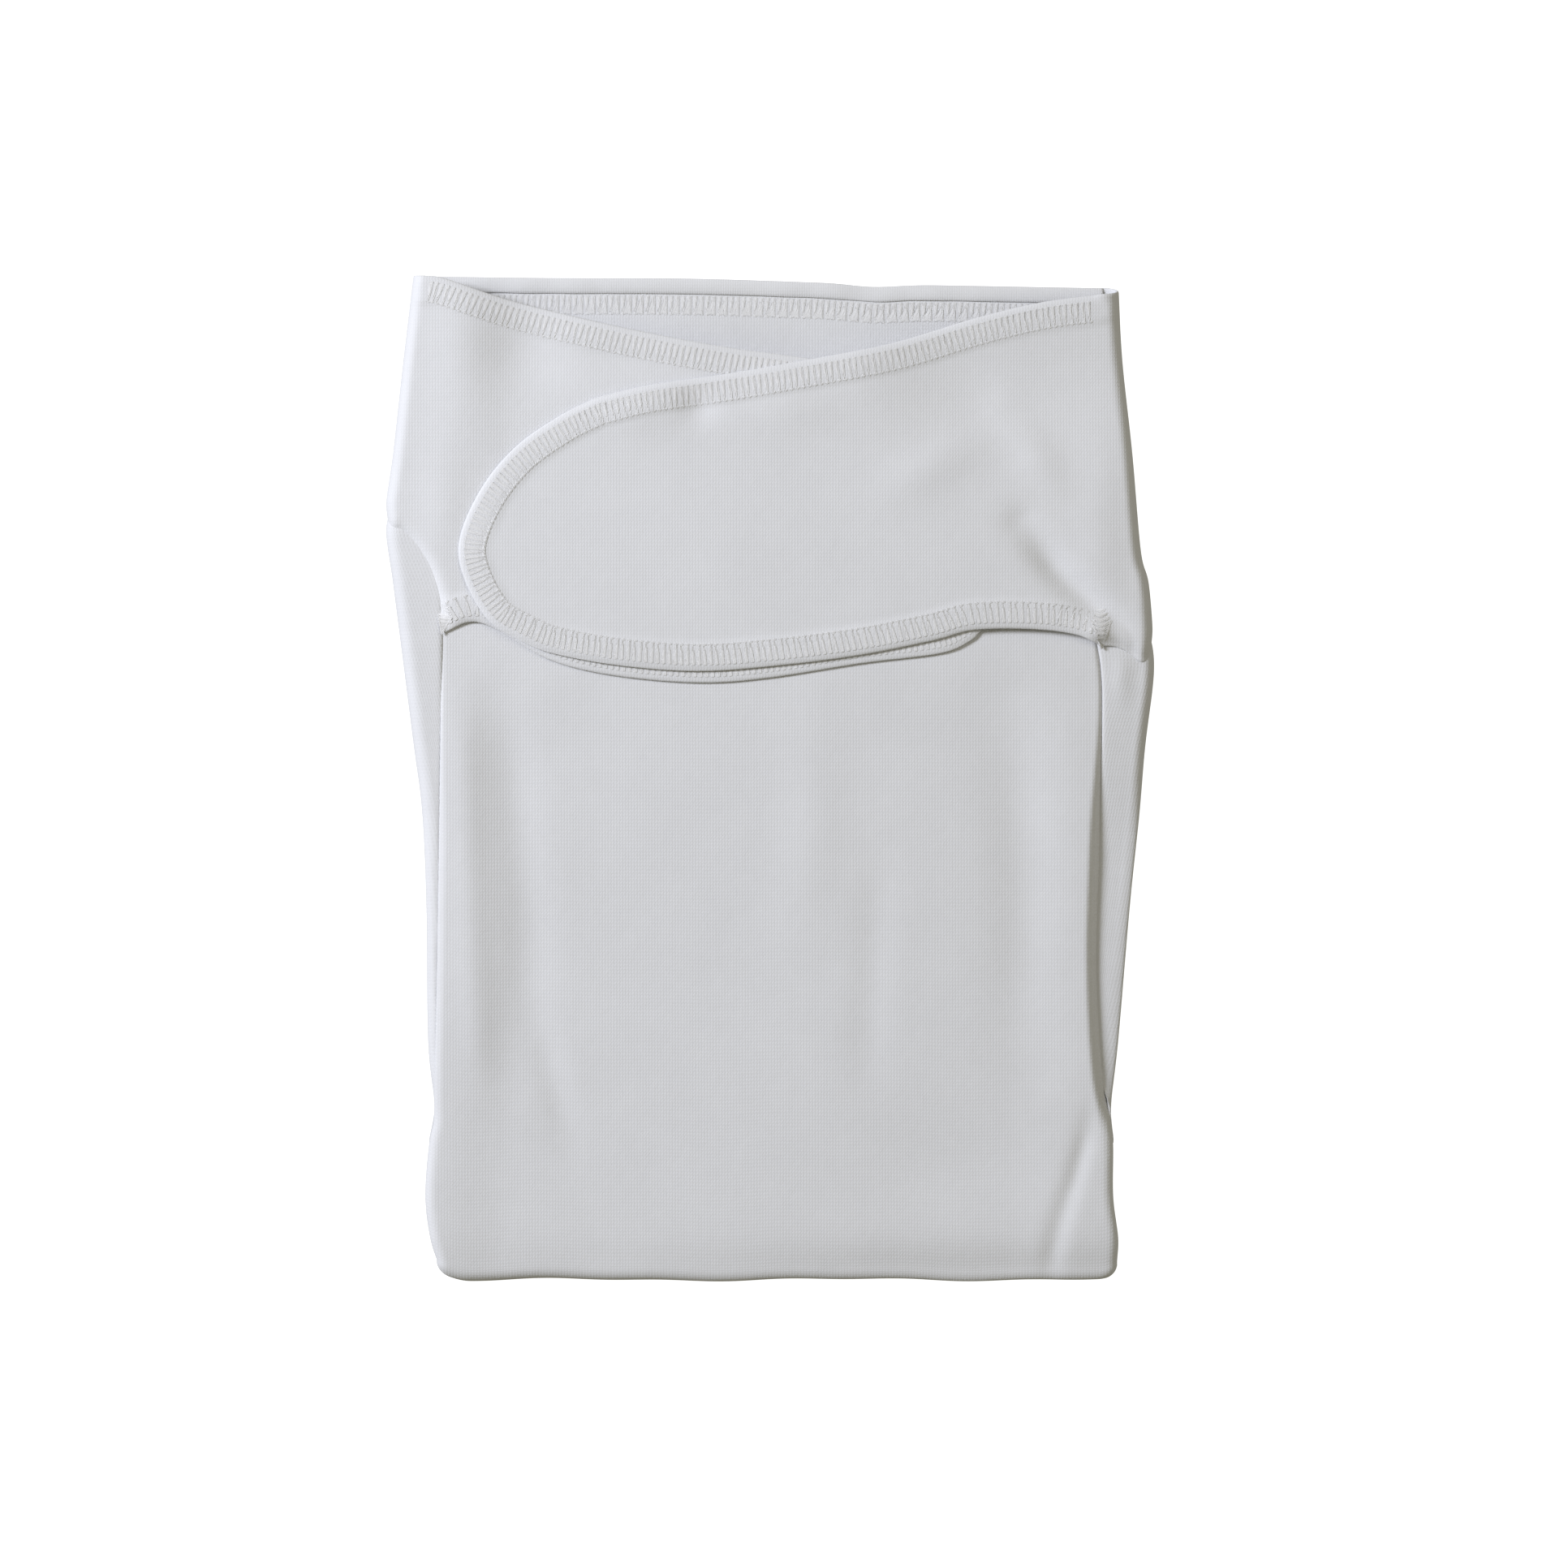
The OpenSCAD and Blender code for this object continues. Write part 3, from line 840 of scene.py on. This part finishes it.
def overlock_row(name, edge, surface, material, start=2.6, end=10.2, trim=(2.0, 2.0), faces=(1, -1)):
    """Throws of thread across an edge, with a run of short stitches along each side of them."""
    bars = []
    length = line_length(edge)
    for k in range(int((length - sum(trim)) / PITCH)):
        share = (trim[0] + (k + 0.5) * PITCH) / length
        here, ahead = at(edge, share), at(edge, min(share + 0.004, 1.0))
        run = (ahead - here) / max(np.linalg.norm(ahead - here), 1e-9)
        inward = np.array([run[1], -run[0]])
        lean = inward + run * (0.10 if k % 2 else -0.10)
        for face in faces:
            bars.append(bar(here + inward * (start + end) / 2, lean, end - start, 1.0, face))
            bars.append(bar(here + inward * start, run, PITCH * 0.8, 0.8, face))
            bars.append(bar(here + inward * end, run, PITCH * 0.8, 0.8, face))
    return sew(name, bars, surface, material)


def weave_by_place(obj):
    """Gives a small piece cloth coordinates straight from its place."""
    uv = obj.data.uv_layers.new(name="weave")
    for loop in obj.data.loops:
        co = obj.data.vertices[loop.vertex_index].co
        uv.data[loop.index].uv = (co.x, co.y)


inner_overlock = overlock_row("left_wing_stitching", inner_free, inner_height, thread, trim=(1.0, 3.0))
outer_overlock = overlock_row("right_wing_stitching", outer_free[::-1], outer_height, thread,
                              trim=(3.0, 1.0))

# %% [markdown]
# ## The neck hem
# The back panel's neckline is turned over once to the inside and stitched. The turned strip is the same
# knit, two plies thick, a little puckered between stitches, with a row of throws just below it.

# %% Neck hem
NECK_HEM = 6.0
NECK_ENDS = 5.5


def pucker(x):
    return 0.35 * np.sin(x / 3.1) * (0.5 + 0.5 * np.sin(x / 23.0)) + rise(x, 40, 9, -0.7)


def place_neck_hem(u, v):
    x = NECK_LEFT[0] + NECK_ENDS + u * (NECK_RIGHT[0] - NECK_LEFT[0] - 2 * NECK_ENDS)
    y = neck_y(x) + 0.25 - v * NECK_HEM - 0.25 * pucker(x) * v
    crown = np.sin(np.clip(v, 0, 1) * math.pi) ** 0.5
    z = back_height(x, y) + 0.55 + 0.75 * crown + 0.4 * pucker(x) * crown
    return columns_to(x, y, z), columns_to(x, y)


neck_hem = ply("neck_hem", 150, 8, place_neck_hem, hem_knit, thickness=0.7, face_down=True)

neck_line_x = np.linspace(NECK_LEFT[0] + NECK_ENDS + 2, NECK_RIGHT[0] - NECK_ENDS - 2, 120)
neck_line = np.stack([neck_line_x, neck_y(neck_line_x) - NECK_HEM], axis=-1)
neck_rows = overlock_row("neck_stitching", neck_line, back_height, thread, start=0.6, end=7.4, faces=(1,))

# %% [markdown]
# ## Corner tacks
# Where a wing's lower corner meets the side seam, all the plies come together and are fastened with a small
# fan of stitches, folded into a V that points down the seam. A bump pattern could draw it, but it is seen
# close to the rows of the hem, so it is made of the same bars of thread.

# %% V-shaped tacks
FAN_STITCHES = 9
ARM_STITCHES = 7


def corner_tack(name, tip, top, half_width, surface):
    bars = []
    tip, top = np.array(tip, float), np.array(top, float)
    height = np.linalg.norm(top - tip)
    axis = (top - tip) / height
    square = np.array([axis[1], -axis[0]])
    for k in range(FAN_STITCHES):
        share = (k + 0.5) / FAN_STITCHES
        spread = half_width * min(share * 1.5, 1.0, (1.12 - share) * 2.2)
        for hand in (-1, 1):
            middle = tip + axis * share * height + square * hand * spread * 0.55
            bars.append(bar(middle, square * hand + axis * 0.55, spread * 1.15 + 0.8))
    for hand in (-1, 1):
        for k in range(ARM_STITCHES):
            share = (k + 0.5) / ARM_STITCHES
            middle = tip + axis * share * height * 0.7 + square * hand * half_width * share
            bars.append(bar(middle, axis + square * hand * 0.45, 2.0, 0.9))
    return sew(name, bars, surface, thread, proud=0.12)


left_tack = corner_tack("left_tack_stitches", (-124.6, 54.5), (-122.5, 65), 2.8, inner_height)
right_tack = corner_tack("right_tack_stitches", (126.4, 48.6), (126.0, 64), 3.8, outer_height)

# %% [markdown]
# ## Inside pieces
# Tape, label and seam allowances are small flat strips. They are hardly seen until the wrap is opened, but
# they are what holds it together: hook tape under the over wing's tip, loop tape facing it on the under
# wing, a hem at the pouch's mouth, and the seam allowances inside the pouch and at the foot. They follow
# the relief of the cloth they are sewn to, so they stay on it wherever it swells.

# %% Flat strips
def strip_between(name, box_low, box_high, surface, lift, material, thickness, columns=24, rows=24):
    """A small flat strip over a plan rectangle, laid on a surface at some height."""
    def place(u, v):
        x = box_low[0] + u * (box_high[0] - box_low[0])
        y = box_low[1] + v * (box_high[1] - box_low[1])
        return columns_to(x, y, surface(x, y) + lift), columns_to(x, y)
    return ply(name, columns, rows, place, material, thickness=thickness)


def plan_box(node):
    low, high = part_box(node)
    return np.array(low)[:2] / MM, np.array(high)[:2] / MM


tape_low, tape_high = plan_box("hook_tape")
hook_tape = strip_between("hook_tape_strip", tape_low, tape_high, outer_height, -0.70, hook_nylon, 0.35)
loop_tape = strip_between("loop_tape_strip", tape_low, tape_high, inner_height, 0.68, loop_pile, 0.35)
label_low, label_high = plan_box("care_label")
care_label = strip_between("care_label_ribbon", label_low, label_high, front_height, -1.6, satin, 0.2)
mouth_low, mouth_high = plan_box("pouch_mouth_hem")
mouth_hem = strip_between("pouch_mouth_hem_strip", mouth_low, mouth_high, front_height, -0.85, hem_knit,
                          0.6, 60, 4)


def seam_allowance(name, side, seam, low_y, high_y, depth=5.0):
    def place(u, v):
        y = low_y + v * (high_y - low_y)
        x = x_at(seam, y) - side * (1.5 + u * depth)
        return columns_to(x, y, front_height(x, y) - 1.7 - 1.2 * (1 - u)), columns_to(x, y)
    return ply(name, 4, 90, place, hem_knit, thickness=0.4)


left_allowance = seam_allowance("left_seam_allowance", -1, seam_left, -98, 66)
right_allowance = seam_allowance("right_seam_allowance", 1, seam_right, -98, 66)


def place_foot_seam(u, v):
    x = (v - 0.5) * 2 * (TAIL_HALF - 5)
    past_straight = np.maximum(np.abs(x) - (TAIL_HALF - TAIL_ROUND), 0)
    edge = TAIL_ROUND - np.sqrt(np.maximum(TAIL_ROUND ** 2 - past_straight ** 2, 0))
    y = TAIL_END_Y - edge - 1.5 - 5 * u
    return columns_to(x, y, np.full_like(x, BACK_Z + 0.62)), columns_to(x, y)


foot_seam = ply("foot_seam_allowance", 4, 80, place_foot_seam, hem_knit, thickness=0.12)

# %% [markdown]
# ## What moves with what
# The wings and the foot end are cloth that crosses a fold. Their plies, with the stitches and tapes sewn to
# them, have their placement baked into their meshes; the back panel, neck hem, label, mouth hem and seam
# allowances are attached to the sack.

# %% Riding and baking
def across_fold(obj):
    """Bakes a piece's placement into its mesh."""
    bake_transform(obj)


for obj in (right_wing, outer_overlock, right_tack, hook_tape):
    across_fold(obj)
for obj in (left_wing, inner_overlock, left_tack, loop_tape):
    across_fold(obj)
across_fold(front_cloth)
across_fold(foot_cloth)
across_fold(foot_seam)
for obj in (back_cloth, neck_hem, neck_rows, care_label, mouth_hem, left_allowance, right_allowance):
    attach(obj, "sack")
print(len(pieces), "pieces ride on a body or bend between two")

# %% [markdown]
# ## Pieces and the solids that they stand for
# Each piece takes the place of one or more plain solids of the imported model, which are hidden; the table
# also names their material slot. A ply that goes round a fold stands for the fold's own solid too.

# %% Which drawn nodes each piece stands for
STANDS_FOR = (
    (back_cloth, "knit_body", ("back_panel", "left_pouch_side", "right_pouch_side")),
    (neck_hem, "rib_hem", ("neck_binding",)),
    (neck_rows, "overlock_thread", ("neck_overlock",)),
    (front_cloth, "knit_body", ("pouch_front", "tail_front", "foot_fold")),
    (foot_cloth, "knit_body", ("tail_back",)),
    (foot_seam, "rib_hem", ("foot_seam",)),
    (left_wing, "knit_wing", ("left_wing", "left_side_fold")),
    (right_wing, "knit_wing", ("right_wing", "right_side_fold")),
    (inner_overlock, "overlock_thread", ("left_wing_overlock",)),
    (outer_overlock, "overlock_thread", ("right_wing_overlock",)),
    (left_tack, "overlock_thread", ("left_corner_tack",)),
    (right_tack, "overlock_thread", ("right_corner_tack",)),
    (hook_tape, "hook_tape", ("hook_tape",)),
    (loop_tape, "loop_tape", ("loop_tape",)),
    (care_label, "label_satin", ("care_label",)),
    (mouth_hem, "rib_hem", ("pouch_mouth_hem",)),
    (left_allowance, "rib_hem", ("left_side_seam",)),
    (right_allowance, "rib_hem", ("right_side_seam",)),
)
for obj, slot, nodes in STANDS_FOR:
    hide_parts(*nodes)
print(len(STANDS_FOR), "pieces stand for", sum(len(nodes) for _, _, nodes in STANDS_FOR), "nodes")


# %% [markdown]
# ## Floor
# The floor is white paper that glows a little, so that it stays an even white. It sends no light on to the
# cloth.

# %% Floor
def plain(name, colour, roughness=1.0):
    material = bpy.data.materials.new(name)
    material.use_nodes = True
    surface = material.node_tree.nodes["Principled BSDF"]
    surface.inputs["Base Color"].default_value = (*colour, 1)
    surface.inputs["Roughness"].default_value = roughness
    return material


bm = bmesh.new()
bmesh.ops.create_grid(bm, x_segments=1, y_segments=1, size=3.0)
paper = plain("floor_paper", (0.4, 0.4, 0.4))
glow = paper.node_tree.nodes["Principled BSDF"].inputs
glow["Emission Color"].default_value = (1, 1, 1, 1)
glow["Emission Strength"].default_value = 1.0
floor = finish_mesh(bm, "floor", paper)
floor.visible_diffuse = False
floor.visible_glossy = False
print("floor", round(floor.dimensions.x, 1), "m wide")

# %% [markdown]
# ## Light
# A cool light from the left rakes low over the cloth and brings out its folds. A weak, warmer one comes
# from the other side, and the surroundings are warm and dim, so that hollows turned away from the cool
# light look warmer.

# %% Lights
def round_light(name, place, size, power, colour):
    data = bpy.data.lights.new(name, "AREA")
    data.shape = "DISK"
    data.size = size
    data.energy = power
    data.color = colour
    lamp = bpy.data.objects.new(name, data)
    bpy.context.collection.objects.link(lamp)
    lamp.location = place
    lamp.rotation_euler = (-Vector(place)).to_track_quat("-Z", "Y").to_euler()


round_light("key", (-1.95, 0.8, 1.45), 0.8, 76, (0.855, 0.885, 1.0))
round_light("fill", (1.3, 0.9, 1.7), 1.2, 7, (1.0, 0.97, 0.92))
world = bpy.data.worlds.new("world")
bpy.context.scene.world = world
world.use_nodes = True
world.node_tree.nodes["Background"].inputs["Color"].default_value = (1.0, 0.955, 0.76, 1)
world.node_tree.nodes["Background"].inputs["Strength"].default_value = 0.25
bpy.context.scene.view_settings.view_transform = "Standard"
print("lights:", ", ".join(light.name for light in bpy.data.lights))
